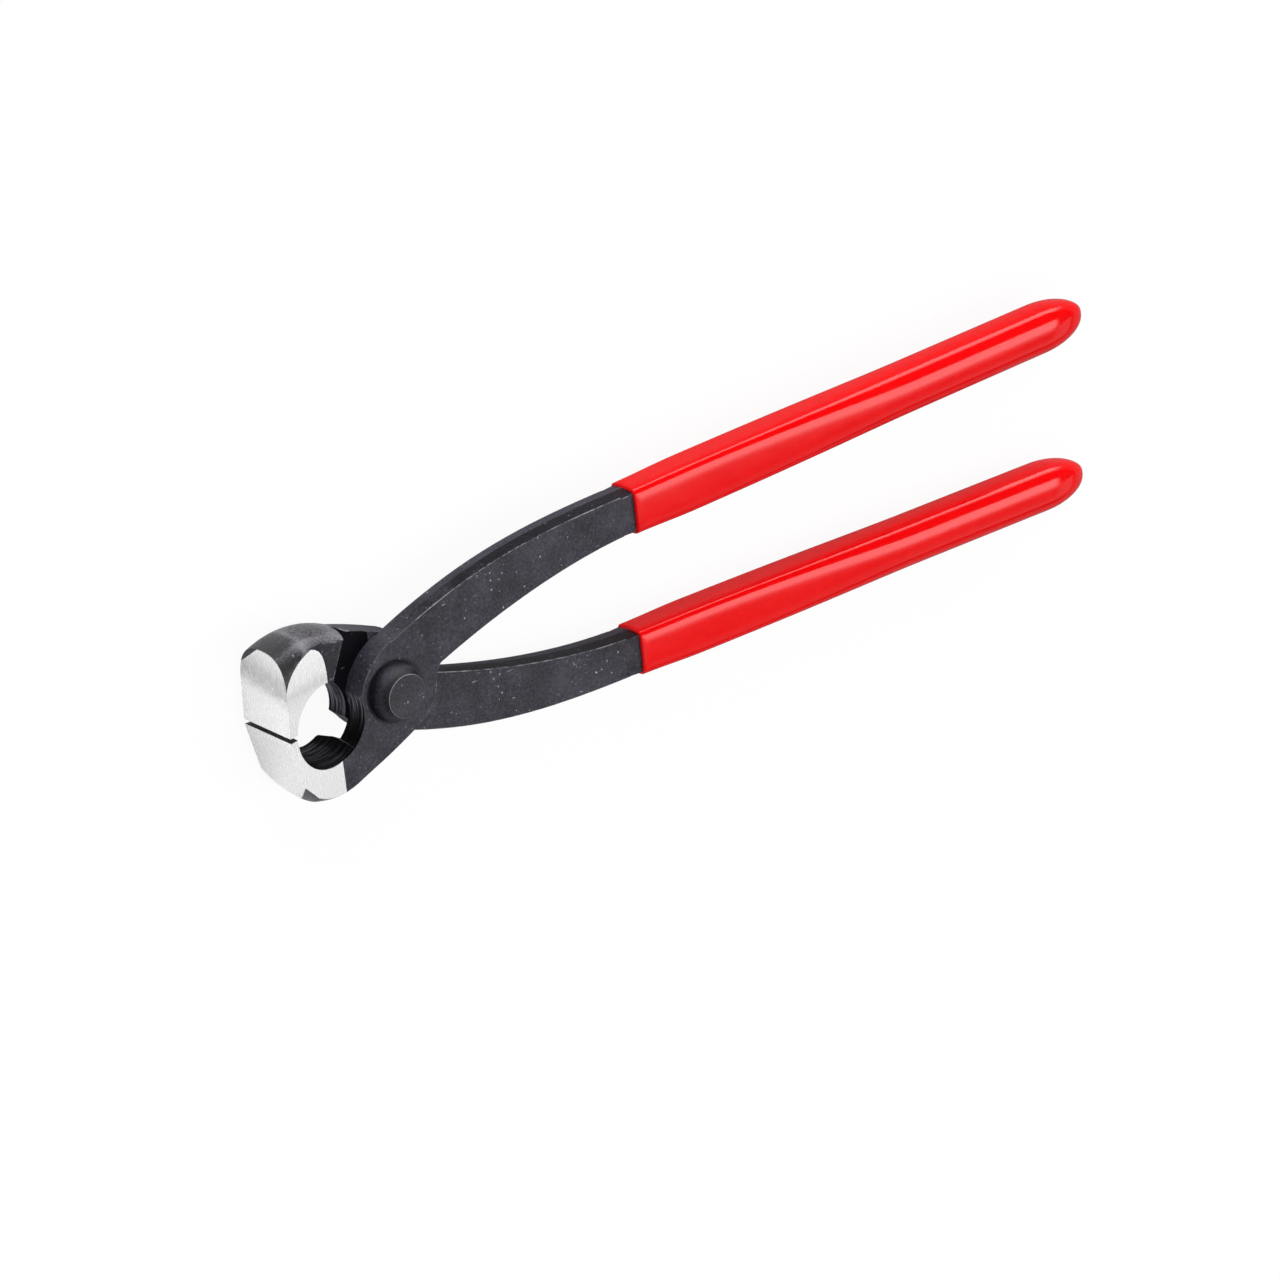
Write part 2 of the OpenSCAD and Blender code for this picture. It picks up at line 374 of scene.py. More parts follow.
class Effects:
    """Shader groups that more than one finish uses."""

    def __init__(self) -> None:
        """Builds each group once."""
        self.grain = self._grain()
        self.specks = self._specks()
        self.lines = self._lines()

    @staticmethod
    def _open(
        name: str, inputs: dict[str, float], outputs: list[str]
    ) -> tuple[bpy.types.NodeTree, Wiring, dict[str, Socket], bpy.types.Node]:
        """Starts a group with a position input.

        Args:
            name: Name of the group.
            inputs: Names and starting values of its number inputs.
            outputs: Names of its value outputs.

        Returns:
            The tree, its wiring, its inputs by name, and its output node.
        """
        tree = bpy.data.node_groups.new(name, "ShaderNodeTree")
        tree.interface.new_socket("Position", in_out="INPUT", socket_type="NodeSocketVector")
        for label, value in inputs.items():
            socket = tree.interface.new_socket(label, in_out="INPUT", socket_type="NodeSocketFloat")
            socket.default_value = value
        for label in outputs:
            tree.interface.new_socket(label, in_out="OUTPUT", socket_type="NodeSocketFloat")
        entry = tree.nodes.new("NodeGroupInput")
        leave = tree.nodes.new("NodeGroupOutput")
        return tree, Wiring(tree), {s.name: s for s in entry.outputs}, leave

    def _grain(self) -> bpy.types.NodeTree:
        """Grain of a forged or dipped skin: a tone and a height.

        Returns:
            The group.
        """
        tree, w, inputs, leave = self._open(
            "skin_grain", {"Size": 0.4, "Patch": 9.0}, ["Tone", "Height"]
        )
        fine_share, broad_share = 0.65, 0.35
        fine = w.noise(inputs["Position"], w.math("DIVIDE", PER_MM, inputs["Size"]), 4.0, 0.7)
        broad = w.noise(inputs["Position"], w.math("DIVIDE", PER_MM, inputs["Patch"]))
        tone = w.math("ADD", w.math("MULTIPLY", fine, fine_share), w.math("MULTIPLY", broad, broad_share))
        w.feed(leave.inputs["Tone"], tone)
        w.feed(leave.inputs["Height"], fine)
        return tree

    def _specks(self) -> bpy.types.NodeTree:
        """Scattered bright specks and short scratches: a mask.

        Returns:
            The group.
        """
        tree, w, inputs, leave = self._open(
            "worn_specks", {"Spacing": 2.4, "Amount": 0.5, "Width": 0.08}, ["Mask"]
        )
        stir_scale, stir_reach, squash = 2.2, 0.7, (1.0, 0.6, 0.8)
        flock_scale, flock_span, flock_share = 140.0, (0.38, 0.62), (0.25, 1.75)
        position = inputs["Position"]
        scale = w.math("DIVIDE", PER_MM, inputs["Spacing"])
        fast = w.math("MULTIPLY", scale, stir_scale)
        stir = w.add("TexNoise", {"Vector": position, "Scale": fast, "Detail": 2.0}).outputs["Color"]
        centred = w.add("VectorMath", {0: stir, 1: (0.5, 0.5, 0.5)}, operation="SUBTRACT").outputs[0]
        reach = w.math("MULTIPLY", inputs["Spacing"], stir_reach * MM)
        shift = w.add("VectorMath", {0: centred, "Scale": reach}, operation="SCALE").outputs[0]
        bent = w.add("VectorMath", {0: position, 1: shift}, operation="ADD").outputs[0]
        dots = w.add("TexVoronoi", {"Vector": w.stretch(bent, squash), "Scale": scale})
        chance = w.add("SeparateColor", {0: dots.outputs["Color"]})
        size = w.math("MULTIPLY", chance.outputs[0], inputs["Width"])
        near = w.math("LESS_THAN", dots.outputs["Distance"], size)
        flock = w.between(w.ramp(w.noise(position, flock_scale, 2.0), *flock_span), *flock_share)
        kept = w.math("LESS_THAN", chance.outputs[1], w.math("MULTIPLY", inputs["Amount"], flock))
        level = w.between(w.math("POWER", chance.outputs[2], 2.0), 0.2, 1.0)
        w.feed(leave.inputs["Mask"], w.math("MULTIPLY", level, w.math("MULTIPLY", near, kept)))
        return tree

    def _lines(self) -> bpy.types.NodeTree:
        """Fine parallel lines that a tool leaves along a stretched position: a tone.

        Returns:
            The group.
        """
        tree, w, inputs, leave = self._open("tool_lines", {"Pitch": 0.3}, ["Tone"])
        scale = w.math("DIVIDE", PER_MM, inputs["Pitch"])
        w.feed(leave.inputs["Tone"], w.noise(inputs["Position"], scale, 3.0, 0.65))
        return tree


@dataclass(frozen=True)
class Scatter:
    """How specks are strewn over a surface, in millimetres and shares."""

    spacing: float
    amount: float
    width: float

    def mask(self, w: Wiring, effects: Effects, where: Socket) -> Socket:
        """Places the specks.

        Args:
            w: The material's wiring.
            effects: The shared shader groups.
            where: Position that the specks follow.

        Returns:
            Their mask.
        """
        values = {"Spacing": self.spacing, "Amount": self.amount, "Width": self.width}
        return w.place(effects.specks, where, **values).outputs["Mask"]


@dataclass(frozen=True)
class Finish:
    """What every finish has: a name and a way to make its material."""

    name: str

    def make(self, effects: Effects) -> bpy.types.Material:
        """Makes the material.

        Args:
            effects: The shared shader groups.

        Returns:
            The material.
        """
        material = bpy.data.materials.new(self.name)
        material.use_nodes = True
        w = Wiring(material.node_tree)
        shader = material.node_tree.nodes["Principled BSDF"]
        where = w.add("TexCoord").outputs["Object"]
        for name, value in self.wire(w, effects, where).items():
            w.feed(shader.inputs[name], value)
        return material

    def wire(self, w: Wiring, effects: Effects, where: Socket) -> dict[str, object]:
        """Wires the finish, which each kind does in its own way.

        Args:
            w: The material's wiring.
            effects: The shared shader groups.
            where: The object position.

        Returns:
            What goes into the shader's inputs, by their names.
        """
        raise NotImplementedError


@dataclass(frozen=True)
class OxideFinish(Finish):
    """Black oxide on forged steel, with grain, bright specks, scratches, worn edges, and painted light and
    shade from the tone attribute and the rows by place.
    """

    dark: Colour = (0.006, 0.0056, 0.009, 1.0)
    pale: Colour = (0.060, 0.055, 0.076, 1.0)
    bare: Colour = (0.45, 0.45, 0.46, 1.0)
    roughness: Span = (0.34, 0.50)
    gloss: float = 0.27
    grain_mm: float = 0.55
    patch_mm: float = 7.0
    grain_depth: float = 0.12
    tone_push: float = 0.3
    tone_span: Span = (0.32, 0.70)
    specks: Scatter = Scatter(0.75, 0.60, 0.22)
    nicks: Scatter = Scatter(1.2, 0.50, 0.14)
    nick_turn: Triple = (0.3, 0.2, 0.9)
    nick_stretch: Triple = (0.30, 1.6, 1.0)
    nick_level: float = 0.9
    rub_scale: float = 480.0
    rub_span: Span = (0.9, 1.2)
    edge_share: float = 0.52
    bare_metal: float = 0.8
    # painted sheen and shade: grey rows by place along x and along z, in millimetres
    painted_sheen_rows_x: Stops = ((-27.0, 0.5), (-8.0, 0.5))
    painted_sheen_rows_z: Stops = ((-8.0, 0.5), (8.0, 0.5))
    # painted shadow round the rivet: radii in millimetres where it fades in, and its depth
    painted_shadow_ring: Span = (7.0, 6.3)
    painted_shadow_depth: float = -0.9

    def wire(self, w: Wiring, effects: Effects, where: Socket) -> dict[str, object]:
        """Wires the grain, the specks and nicks, the worn edges, and the painted light and shade.

        Args:
            w: The material's wiring.
            effects: The shared shader groups.
            where: The object position.

        Returns:
            What goes into the shader's inputs, by their names.
        """
        grain = w.place(effects.grain, where, Size=self.grain_mm, Patch=self.patch_mm)
        # painted light and shade: the tone attribute and the rows by place shift the skin's grey
        shift = w.add("Attribute", attribute_name="tone").outputs["Fac"]
        shift = w.math("MULTIPLY", w.math("ADD", shift, self._shades(w, where)), self.tone_push)
        tone = w.ramp(w.math("ADD", grain.outputs["Tone"], shift), *self.tone_span)
        skin = w.blend(tone, self.dark, self.pale)
        specks = self.specks.mask(w, effects, where)
        turning = {"Vector": where, "Rotation": self.nick_turn, "Scale": self.nick_stretch}
        nicks = self.nicks.mask(w, effects, w.add("Mapping", turning).outputs[0])
        marks = w.math("MAXIMUM", specks, w.math("MULTIPLY", nicks, self.nick_level))
        worn = w.add("Attribute", attribute_name="worn").outputs["Fac"]
        low, high = (edge - self.edge_share for edge in self.rub_span)
        rub = w.ramp(w.noise(where, self.rub_scale, 6.0, 0.75), low, high)
        bright = w.math("MAXIMUM", w.math("MULTIPLY", worn, rub), marks)
        return {
            "Base Color": w.blend(bright, skin, self.bare),
            "Metallic": w.math("MULTIPLY", bright, self.bare_metal),
            "Roughness": w.between(tone, *self.roughness),
            "Normal": w.bump(grain.outputs["Height"], self.grain_depth, 1.0),
            "Specular IOR Level": self.gloss,
        }

    def _shades(self, w: Wiring, where: Socket) -> Socket:
        """Wires the painted shadow round the rivet and the painted sheen and shade along x and z.

        Args:
            w: The material's wiring.
            where: The object position.

        Returns:
            A shift of the tone.
        """
        x, y, z = w.local(where)
        away = w.math("SQRT", w.math("ADD", w.math("MULTIPLY", x, x), w.math("MULTIPLY", y, y)))
        # painted shadow darkening the skin near the rivet
        painted_shadow_ring = w.math("MULTIPLY", w.ramp(away, *self.painted_shadow_ring), self.painted_shadow_depth)
        # painted sheen and shade along z and along x
        painted_sheen = w.stops(w.math("MULTIPLY", z, w.math("SIGN", y)), self.painted_sheen_rows_z)
        painted_light_x = w.stops(x, self.painted_sheen_rows_x)
        lit = w.math("SUBTRACT", w.math("ADD", painted_sheen, painted_light_x), 1.0)
        return w.math("ADD", painted_shadow_ring, w.math("MULTIPLY", lit, 2.0))


@dataclass(frozen=True)
class GroundFinish(Finish):
    """Bare ground steel with fine lines, a grey sweep that is partly uneven grinding and partly painted
    reflection and shade, a mottled band and painted glints.
    """

    pit: float = 0.45
    glint: float = 1.0
    metal: float = 0.65
    roughness: Span = (0.25, 0.29)
    line_stretch: Triple = (1.0, 0.06, 1.0)
    line_mm: float = 0.18
    line_depth: float = 0.01
    line_bump: float = 0.05
    score: float = 0.06
    cloud_stretch: Triple = (1.0, 0.5, 1.0)
    cloud_scale: float = 1100.0
    cloud_share: Span = (0.05, 0.80)
    pits: Scatter = Scatter(0.7, 0.30, 0.34)
    pit_share: Span = (0.08, 0.8)
    glints: Scatter = Scatter(0.8, 0.75, 0.40)
    glint_shift: Triple = (0.013, 0.007, 0.003)
    cheek_band: float = 0.45
    front_slant: float = 0.16
    band_rise: Span = (6.9, 9.1)
    band_fall: Span = (14.7, 11.2)
    # grey rows by height for the fronts and the cheeks: uneven grinding with painted reflection and shade,
    # a darker band across the middle
    front: Stops = (
        (-17.0, 0.82), (-3.0, 0.84), (-0.9, 0.87), (0.2, 0.93), (5.5, 0.95), (6.8, 0.92),
        (7.8, 0.82), (8.9, 0.65), (10.0, 0.57), (12.1, 0.60), (13.2, 0.70), (15.4, 0.85),
    )
    cheek: Stops = (
        (-17.0, 0.86), (-5.0, 0.90), (0.0, 0.82), (4.0, 0.84), (6.0, 0.82), (7.4, 0.78),
        (8.4, 0.70), (9.6, 0.80), (10.6, 0.875), (12.7, 0.91), (13.8, 0.95),
    )

    def wire(self, w: Wiring, effects: Effects, where: Socket) -> dict[str, object]:
        """Wires the lines, the sweep with its painted reflection and shade, the mottled band, the pits and
        the painted glints.

        Args:
            w: The material's wiring.
            effects: The shared shader groups.
            where: The object position.

        Returns:
            What goes into the shader's inputs, by their names.
        """
        drawn = w.stretch(where, self.line_stretch)
        lines = w.place(effects.lines, drawn, Pitch=self.line_mm).outputs["Tone"]
        _, height, depth = w.local(where)
        slant = w.math("ADD", height, w.math("MULTIPLY", depth, self.front_slant))
        is_front = w.add("Attribute", attribute_name="tone").outputs["Fac"]
        level_y = w.between(is_front, height, slant)
        rise, fall = w.ramp(level_y, *self.band_rise), w.ramp(level_y, *self.band_fall)
        band = w.math("MULTIPLY", w.math("MULTIPLY", rise, fall), w.between(is_front, self.cheek_band, 1.0))
        # the grey sweep holds painted reflection and shade as well as uneven grinding
        sweep_and_painted_shade = w.between(is_front, w.stops(height, self.cheek), w.stops(slant, self.front))
        cloud = w.noise(w.stretch(where, self.cloud_stretch), self.cloud_scale, 5.0, 0.75)
        cloud = w.math("MULTIPLY", w.math("SUBTRACT", cloud, 0.5), w.between(band, *self.cloud_share))
        scored = w.math("MULTIPLY", w.math("SUBTRACT", lines, 0.5), self.score)
        level = w.math("ADD", sweep_and_painted_shade, w.math("ADD", cloud, scored))
        pits = self.pits.mask(w, effects, where)
        shift = w.add("Mapping", {"Vector": where, "Location": self.glint_shift}).outputs[0]
        glints = self.glints.mask(w, effects, shift)
        level = w.between(w.math("MULTIPLY", pits, w.between(band, *self.pit_share)), level, self.pit)
        level = w.between(w.math("MULTIPLY", glints, band), level, self.glint)
        return {
            "Base Color": level,
            "Metallic": self.metal,
            "Roughness": w.between(lines, *self.roughness),
            "Normal": w.bump(lines, self.line_depth, self.line_bump),
        }


@dataclass(frozen=True)
class BoredFinish(Finish):
    """Oxide in the bored side hole, with rings from the boring tool and painted reflections along them."""

    dark: Colour = (0.0008, 0.0008, 0.001, 1.0)
    # pale is the colour of the painted reflections
    pale: Colour = (0.30, 0.286, 0.345, 1.0)
    # painted reflection: grey rows by height and, lower down, by depth, in millimetres
    painted_reflection_y: Stops = (
        (-10.2, 0.05), (-9.6, 0.04), (-8.9, 0.015), (-7.0, 0.0), (-5.2, 0.02),
        (-4.2, 0.055), (-2.0, 0.32), (0.0, 0.58), (3.0, 0.65),
    )
    painted_bottom_z: Stops = ((-4.5, 0.24), (0.0, 0.03), (5.0, 0.0))
    painted_bottom_y: Span = (-8.8, -9.8)
    ring_stretch: Triple = (0.06, 0.06, 1.0)
    ring_mm: float = 0.45
    ring_span: Span = (0.45, 0.63)
    ring_level: Span = (0.12, 2.7)
    ring_depth: float = 0.22
    ring_bump: float = 0.8
    grain_mm: float = 0.5
    patch_mm: float = 5.0
    roughness: Span = (0.3, 0.5)
    gloss: float = 0.03

    def wire(self, w: Wiring, effects: Effects, where: Socket) -> dict[str, object]:
        """Wires the rings and the painted reflections.

        Args:
            w: The material's wiring.
            effects: The shared shader groups.
            where: The object position.

        Returns:
            What goes into the shader's inputs, by their names.
        """
        turned = w.stretch(where, self.ring_stretch)
        rings = w.place(effects.lines, turned, Pitch=self.ring_mm).outputs["Tone"]
        grain = w.place(effects.grain, where, Size=self.grain_mm, Patch=self.patch_mm)
        _, y, z = w.local(where)
        # painted reflection, brighter on the ring ridges and at the bottom of the hole
        painted_bottom = w.math("MULTIPLY", w.stops(z, self.painted_bottom_z), w.ramp(y, *self.painted_bottom_y))
        painted_sheen = w.math("ADD", w.stops(y, self.painted_reflection_y), painted_bottom)
        ridges = w.between(w.ramp(rings, *self.ring_span), *self.ring_level)
        share = w.math("MULTIPLY", painted_sheen, ridges)
        return {
            "Base Color": w.blend(share, self.dark, self.pale),
            "Roughness": w.between(grain.outputs["Tone"], *self.roughness),
            "Normal": w.bump(rings, self.ring_depth, self.ring_bump),
            "Specular IOR Level": self.gloss,
        }


@dataclass(frozen=True)
class VinylFinish(Finish):
    """Glossy dipped vinyl."""

    deep: Colour = (0.75, 0.0012, 0.0020, 1.0)
    light: Colour = (0.80, 0.0025, 0.0040, 1.0)
    lint: Colour = (0.85, 0.4, 0.4, 1.0)
    roughness: Span = (0.09, 0.16)
    gloss: float = 0.3
    grain_mm: float = 2.5
    patch_mm: float = 22.0
    tone_span: Span = (0.3, 0.7)
    grain_depth: float = 0.05
    grain_bump: float = 0.10
    dust: Scatter = Scatter(9.0, 0.08, 0.02)

    def wire(self, w: Wiring, effects: Effects, where: Socket) -> dict[str, object]:
        """Wires the skin and the dust on it.

        Args:
            w: The material's wiring.
            effects: The shared shader groups.
            where: The object position.

        Returns:
            What goes into the shader's inputs, by their names.
        """
        grain = w.place(effects.grain, where, Size=self.grain_mm, Patch=self.patch_mm)
        dust = self.dust.mask(w, effects, where)
        tone = w.ramp(grain.outputs["Tone"], *self.tone_span)
        skin = w.blend(tone, self.deep, self.light)
        return {
            "Base Color": w.blend(dust, skin, self.lint),
            "Roughness": w.between(tone, *self.roughness),
            "Normal": w.bump(grain.outputs["Height"], self.grain_depth, self.grain_bump),
            "Specular IOR Level": self.gloss,
        }


@dataclass
class Piece:
    """What every piece has: its solid, its body and its slot."""

    slot: ClassVar[Slot]
    node: str
    piece_name: str
    body: Body
    piece: bpy.types.Object = field(init=False, default=None)

    def build(self) -> bpy.types.Object:
        """Models the piece, which each kind does in its own way.

        Returns:
            The finished piece.
        """
        raise NotImplementedError

    def dress(self, materials: list[bpy.types.Material]) -> None:
        """Gives the piece its materials and its place on a body.

        Args:
            materials: The materials, in the order of the faces' material numbers.
        """
        for material in materials:
            self.piece.data.materials.append(material)
        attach(self.piece, self.body.value)
        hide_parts(self.node)


@dataclass
class ForgedHalf(Piece):
    """One forged half: an arm, its boss and the jaw across the joint."""

    slot: ClassVar[Slot] = Slot.FORGING
    side: float
    front_tip: Span
    front_lean: float
    face_z: float = 5.45
    lap_half: float = 0.05
    cheek_start: float = -14.3
    cheek_flare: float = 10.1
    hole_centre: Span = (-16.4, -1.3)
    hole_r: float = 8.8
    hole_low_r: float = 8.1
    chamfer_centre: Span = (-16.4, -1.6)
    chamfer_r: float = 14.4
    chamfer_round: float = 17.0
    chamfer_slope: float = 45.0
    edge_round: float = 0.16
    ledge_round: float = 0.5
    tip_round: float = 0.04
    edge_wear: float = 0.7
    ledge_wear: float = 0.45
    boss_wear: float = 0.25
    sharp: float = 0.5
    ledge_sharp: float = 0.4
    slack: float = 0.06
    plane_slack: float = 0.05
    level_slack: float = 0.001
    merge: float = 0.004
    web_merge: float = 0.11
    sliver_area: float = 0.05
    flat_angle: float = 0.2
    smooth_angle: float = 32.0
    steps_end: float = 14.0
    web_start: float = 11.0
    web_half: float = 3.0
    neck_x: float = -8.0
    crown_x: float = -9.0
    crown_y: float = 6.0
    ledge_y: float = 10.0
    recess_x: float = -1.0
    boss_end: float = 9.0
    boss_reach: float = 14.0
    boss_front: float = 6.0
    rivet_hides: float = 4.5
    grip_hides: float = 62.0
    slit_half: float = 2.0
    arm_start: float = 3.0
    arm_fade: float = 25.0
    # painted light and shade on the arm sides and boss walls; the jaws' flat faces are darker
    arm_painted_light: float = 0.45
    boss_painted_light: float = 0.2
    flat_tone: float = -0.35
    facet_corner: Stops = (
        (-15.4, 10.0), (-15.6, 11.8), (-16.0, 13.3), (-16.7, 14.5), (-17.7, 15.3), (-18.9, 15.8),
    )
    upper_cut: tuple[Triple, Triple] = ((-26.0, 16.54, -0.97), (0.0, 3.10, -2.08))
    lower_cut: tuple[Triple, Triple] = ((-25.0, -11.0, 7.55), (1.145, -0.928, 1.268))

    def build(self) -> bpy.types.Object:
        """Models the half from its solid: level faces, regions, then rounded edges.

        Returns:
            The finished piece.
        """
        self.piece = Bench.copy_node(self.node, self.piece_name)
        with Bench.editing(self.piece, "VERT"):
            self._level()
        with Bench.editing(self.piece, "FACE"):
            self._sort_faces()
            self._trim_facets()
            self._set_tones()
        with Bench.editing(self.piece, "EDGE"):
            self._round(self._forged_edge, self.edge_round, 2, self.edge_wear)
            self._round(self._ledge_edge, self.ledge_round, 3, self.ledge_wear)
            self._round(self._tip_edge, self.tip_round, 2, 1.0)
        Bench.smooth(self.piece, self.smooth_angle)
        Bench.apply(self.piece, "WEIGHTED_NORMAL", keep_sharp=True, weight=60)
        return self.piece

    def _local(self, point: Vector) -> Vector:
        """Returns a point in millimetres from the rivet's middle."""
        return Vector((point.x / MM, point.y / MM, point.z / MM - LAP_Z))

    def _world(self, local: Vector) -> Vector:
        """Returns a point in metres from one in millimetres from the rivet's middle."""
        return Vector((local.x, local.y, local.z + LAP_Z)) * MM

    def _level(self) -> None:
        """Levels the small steps between arm and boss, and narrows the low side of the hole."""
        mesh = bmesh.from_edit_mesh(self.piece.data)
        middle = Vector(self.hole_centre)
        for vertex in mesh.verts:
            local = self._local(vertex.co)
            for height in (self.face_z, self.lap_half):
                if abs(abs(local.z) - height) < self.slack and local.x < self.steps_end:
                    local.z = math.copysign(height, local.z)
            away = local.xy - middle
            if local.z < 0.0 and abs(away.length - self.hole_r) < self.slack / 2:
                local.xy = middle + away * (self.hole_low_r / away.length)
            vertex.co = self._world(local)
        bmesh.update_edit_mesh(self.piece.data)
        bpy.ops.mesh.select_all(action="SELECT")
        bpy.ops.mesh.remove_doubles(threshold=self.merge * MM)
        bpy.ops.mesh.dissolve_degenerate(threshold=self.merge / 2 * MM)
        self._pick_verts(lambda p: self.web_start < p.x < self.steps_end and abs(p.y) < self.web_half)
        bpy.ops.mesh.remove_doubles(threshold=self.web_merge * MM)
        bpy.ops.mesh.select_mode(type="EDGE")
        Bench.pick_edges(self.piece, self._sliver_edge)
        bpy.ops.mesh.dissolve_edges(use_verts=True, use_face_split=False)
        bpy.ops.mesh.select_all(action="SELECT")
        bpy.ops.mesh.dissolve_limited(angle_limit=math.radians(self.flat_angle))
        bpy.ops.mesh.normals_make_consistent(inside=False)

    def _pick_verts(self, test: Callable[[Vector], bool]) -> None:
        """Selects the vertices of the open mesh whose places pass a test.

        Args:
            test: Says from its place in millimetres whether a vertex is wanted.
        """
        bpy.ops.mesh.select_all(action="DESELECT")
        mesh = bmesh.from_edit_mesh(self.piece.data)
        for vertex in mesh.verts:
            vertex.select = test(self._local(vertex.co))
        bmesh.update_edit_mesh(self.piece.data)

    def _is_level(self, face: bmesh.types.BMFace) -> bool:
        """Says whether a face lies in one of the levelled planes.

        Args:
            face: The face.

        Returns:
            True if it does.
        """
        heights = [abs(self._local(v.co).z) for v in face.verts]
        levels, slack = (self.face_z, self.lap_half), self.level_slack
        return any(all(abs(height - level) < slack for height in heights) for level in levels)

    def _sliver_edge(self, edge: bmesh.types.BMEdge) -> bool:
        """Says whether an edge bounds a sliver that levelling has left in a plane."""
        level = all(self._is_level(f) for f in edge.link_faces)
        return level and any(f.calc_area() < self.sliver_area * MM * MM for f in edge.link_faces)

    def _front(self) -> Vector:
        """Returns the direction of the ground front."""
        lean = math.radians(self.front_lean)
        return Vector((-math.cos(lean), self.side * math.sin(lean), 0.0))

    def _on_chamfer(self, point: Vector) -> bool:
        """Says whether a point lies on the rounded chamfer under the lower jaw.

        Args:
            point: The point, in millimetres from the rivet's middle.

        Returns:
            True if it does.
        """
        turn = math.radians(self.chamfer_slope)
        away = point.xy - Vector(self.chamfer_centre)
        drop = away.x * math.sin(turn) + away.y * math.cos(turn)
        reach = math.hypot(drop + self.chamfer_r - self.chamfer_round, point.z)
        return self.side < 0 and drop < 0 and abs(reach - self.chamfer_round) < self.slack

    def _region(self, centre: Vector, normal: Vector) -> Surface:
        """Says which surface a face belongs to.

        Args:
            centre: Middle of the face, in millimetres from the rivet's middle.
            normal: Direction of the face.

        Returns:
            The surface.
        """
        chamfer_cos, crown_cos = 0.5, 0.97
        wall_in, wall_out, wall_end, shortest = 0.2, 0.1, -6.0, 0.01
        front = self._front()
        tip = Vector((self.front_tip[0], self.front_tip[1], 0.0))
        if normal.dot(front) > ALIGNED and abs((centre - tip).dot(front)) < self.plane_slack:
            return Surface.GROUND
        flare = math.radians(self.cheek_flare)
        up = 1.0 if normal.z > 0 else -1.0
        cheek = Vector((math.sin(flare), 0.0, up * math.cos(flare)))
        start = Vector((self.cheek_start, 0.0, up * self.face_z))
        if normal.dot(cheek) > ALIGNED and abs((centre - start).dot(cheek)) < self.plane_slack:
            return Surface.GROUND
        if self._on_chamfer(centre) and normal.x < -chamfer_cos:
            return Surface.GROUND
        away = centre.xy - Vector(self.hole_centre)
        inward = normal.xy.dot(away) / max(away.length, shortest)
        in_wall = self.hole_low_r - wall_in < away.length < self.hole_r + wall_out
        if inward < -MOSTLY and in_wall and centre.x < wall_end:
            return Surface.BORED
        outer = centre.x < self.crown_x and centre.y * self.side > self.crown_y
        return Surface.CROWN if outer and abs(normal.z) < crown_cos else Surface.OXIDE

    def _sort_faces(self) -> None:
        """Sets the material number of each face of the open mesh."""
        mesh = bmesh.from_edit_mesh(self.piece.data)
        for face in mesh.faces:
            face.material_index = self._region(self._centre(face), face.normal).value
        bmesh.update_edit_mesh(self.piece.data)

    def _trim_facets(self) -> None:
        """Cuts the ground facets to the outlines that the grinding left."""
        s, under_cos, front_cos = self.side, 0.4, 0.95
        for (x0, y0), (x1, y1) in zip(self.facet_corner, self.facet_corner[1:]):
            plane = Vector((y1 - y0, -s * (x1 - x0), 0.0))
            self._trim(lambda n: n.z * s > MOSTLY, Vector((x0, s * y0, 0.0)), plane)
        if s > 0:
            point, outward = (Vector(v) for v in self.upper_cut)
            self._trim(lambda n: n.x < -MOSTLY, point, outward)
        else:
            point, outward = (Vector(v) for v in self.lower_cut)
            self._trim(lambda n: n.y < -under_cos and n.x > -front_cos, point, outward)

    def _trim(self, kind: Callable[[Vector], bool], point: Vector, outward: Vector) -> None:
        """Cuts ground faces by a plane and gives what lies beyond it back to the forged skin.

        Args:
            kind: Says from its direction whether a ground face is cut.
            point: A point of the plane, in millimetres from the rivet's middle.
            outward: Direction of the part that is given back.
        """
        bpy.ops.mesh.select_all(action="DESELECT")
        mesh = bmesh.from_edit_mesh(self.piece.data)
        for face in mesh.faces:
            face.select = face.material_index == Surface.GROUND.value and kind(face.normal)
        bmesh.update_edit_mesh(self.piece.data)
        bpy.ops.mesh.bisect(plane_co=self._world(point), plane_no=outward.normalized(), threshold=FINE)
        mesh = bmesh.from_edit_mesh(self.piece.data)
        for face in mesh.faces:
            beyond = (self._centre(face) - point).dot(outward) > 0.0
            if face.material_index == Surface.GROUND.value and kind(face.normal) and beyond:
                face.material_index = Surface.OXIDE.value
        bmesh.update_edit_mesh(self.piece.data)

    def _set_tones(self) -> None:
        """Paints shade on the lapped faces in the recess, paints light and shade on the two sides of an
        arm's parting line and light on the boss walls, darkens the jaws' flat faces, and flags the ground
        fronts.
        """
        front_cos, side_cos = 0.6, 0.8
        bpy.ops.mesh.select_all(action="DESELECT")
        mesh = bmesh.from_edit_mesh(self.piece.data)
        for face in mesh.faces:
            face.select = self._is_level(face) and abs(self._centre(face).z) < 2 * self.lap_half
        bmesh.update_edit_mesh(self.piece.data)
        point = self._world(Vector((self.recess_x, 0.0, 0.0)))
        bpy.ops.mesh.bisect(plane_co=point, plane_no=(1.0, 0.0, 0.0), threshold=FINE)
        mesh = bmesh.from_edit_mesh(self.piece.data)
        layer = mesh.faces.layers.float.new("tone")
        for face in mesh.faces:
            centre, normal = self._centre(face), face.normal
            flat, upright = abs(normal.z) > MOSTLY, abs(normal.z) < STEEP
            if face.material_index == Surface.GROUND.value:
                face[layer] = 1.0 if normal.x < -front_cos else 0.0
            # painted shade on the lapped faces in the recess
            elif abs(centre.z) < 2 * self.lap_half and flat and centre.x < self.recess_x:
                face.material_index = Surface.RECESS.value
